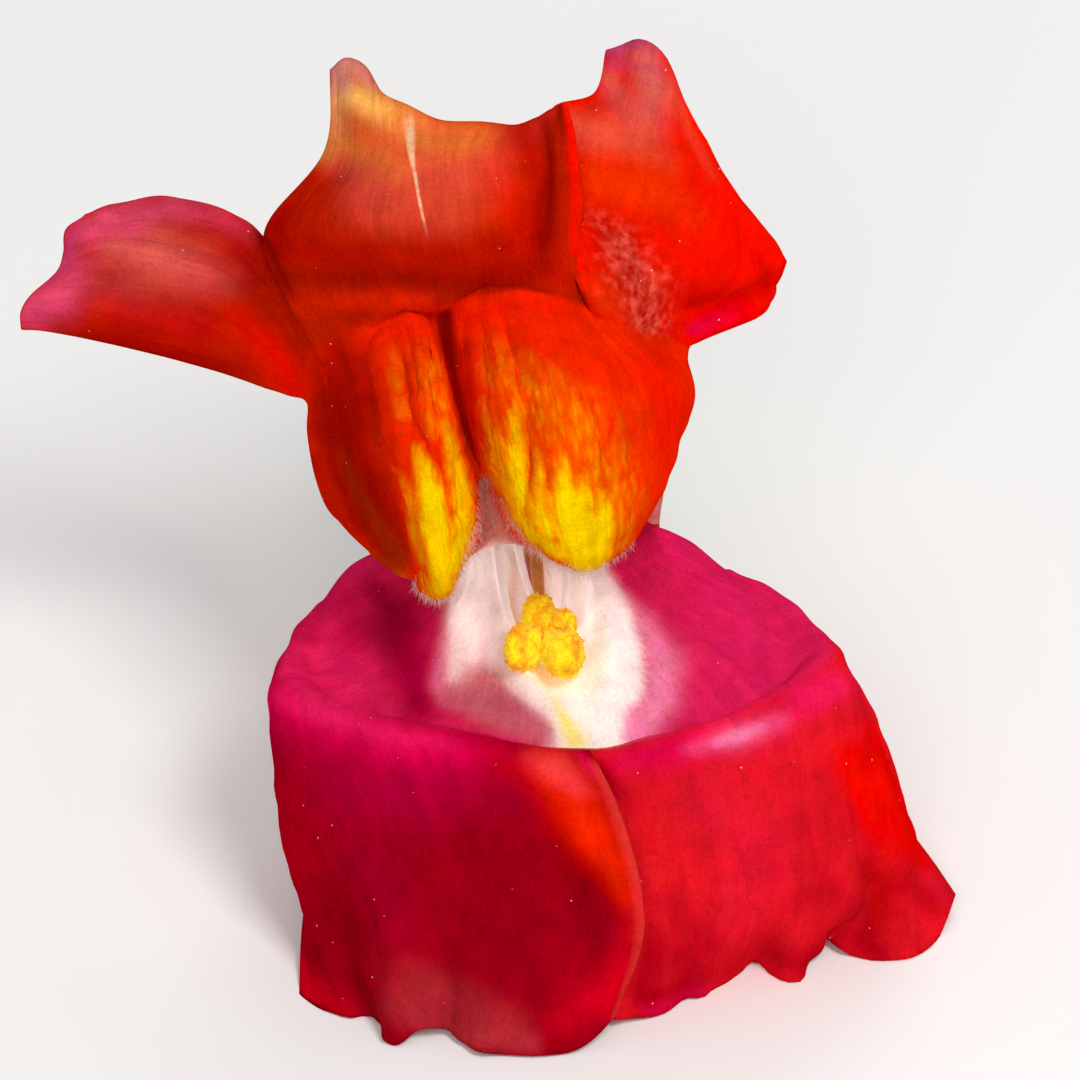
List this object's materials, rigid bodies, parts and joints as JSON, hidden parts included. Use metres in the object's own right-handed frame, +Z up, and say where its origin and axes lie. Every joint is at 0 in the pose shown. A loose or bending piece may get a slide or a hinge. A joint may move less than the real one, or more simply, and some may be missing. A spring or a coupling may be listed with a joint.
{
  "type": "snapdragon bloom",
  "caption": "Single picked snapdragon bloom with open mouth, two-humped palate, ruffled upper lip, calyx and short stalk, resting on its hem and stalk.",
  "frame": {"origin": "middle of the bottom of the bounding box, on the surface that the bloom rests on", "axes": "+Z up; the mouth faces -Y and a little up; the tube, calyx and stalk run toward +Y; +X is to the right of one who looks into the mouth"},
  "size_m": [0.04, 0.047, 0.0337],
  "materials": {
    "petal": "soft velvety petal, crimson to orange-red, white in the throat, yellow on the palate",
    "sepal": "matt green leaf tissue with fine down",
    "stalk": "matt green stem tissue with fine down",
    "pistil": "smooth pale green, moist tip",
    "filament": "smooth waxy white",
    "pollen": "powdery yellow pollen"
  },
  "bodies": {
    "root": {"corolla": "petal", "calyx": "sepal", "stalk": "stalk", "pistil": "pistil", "filament_long_left": "filament", "filament_long_right": "filament", "filament_short_left": "filament", "filament_short_right": "filament", "anther_long_left": "pollen", "anther_long_right": "pollen", "anther_short_left": "pollen", "anther_short_right": "pollen"}
  },
  "joints": []
}
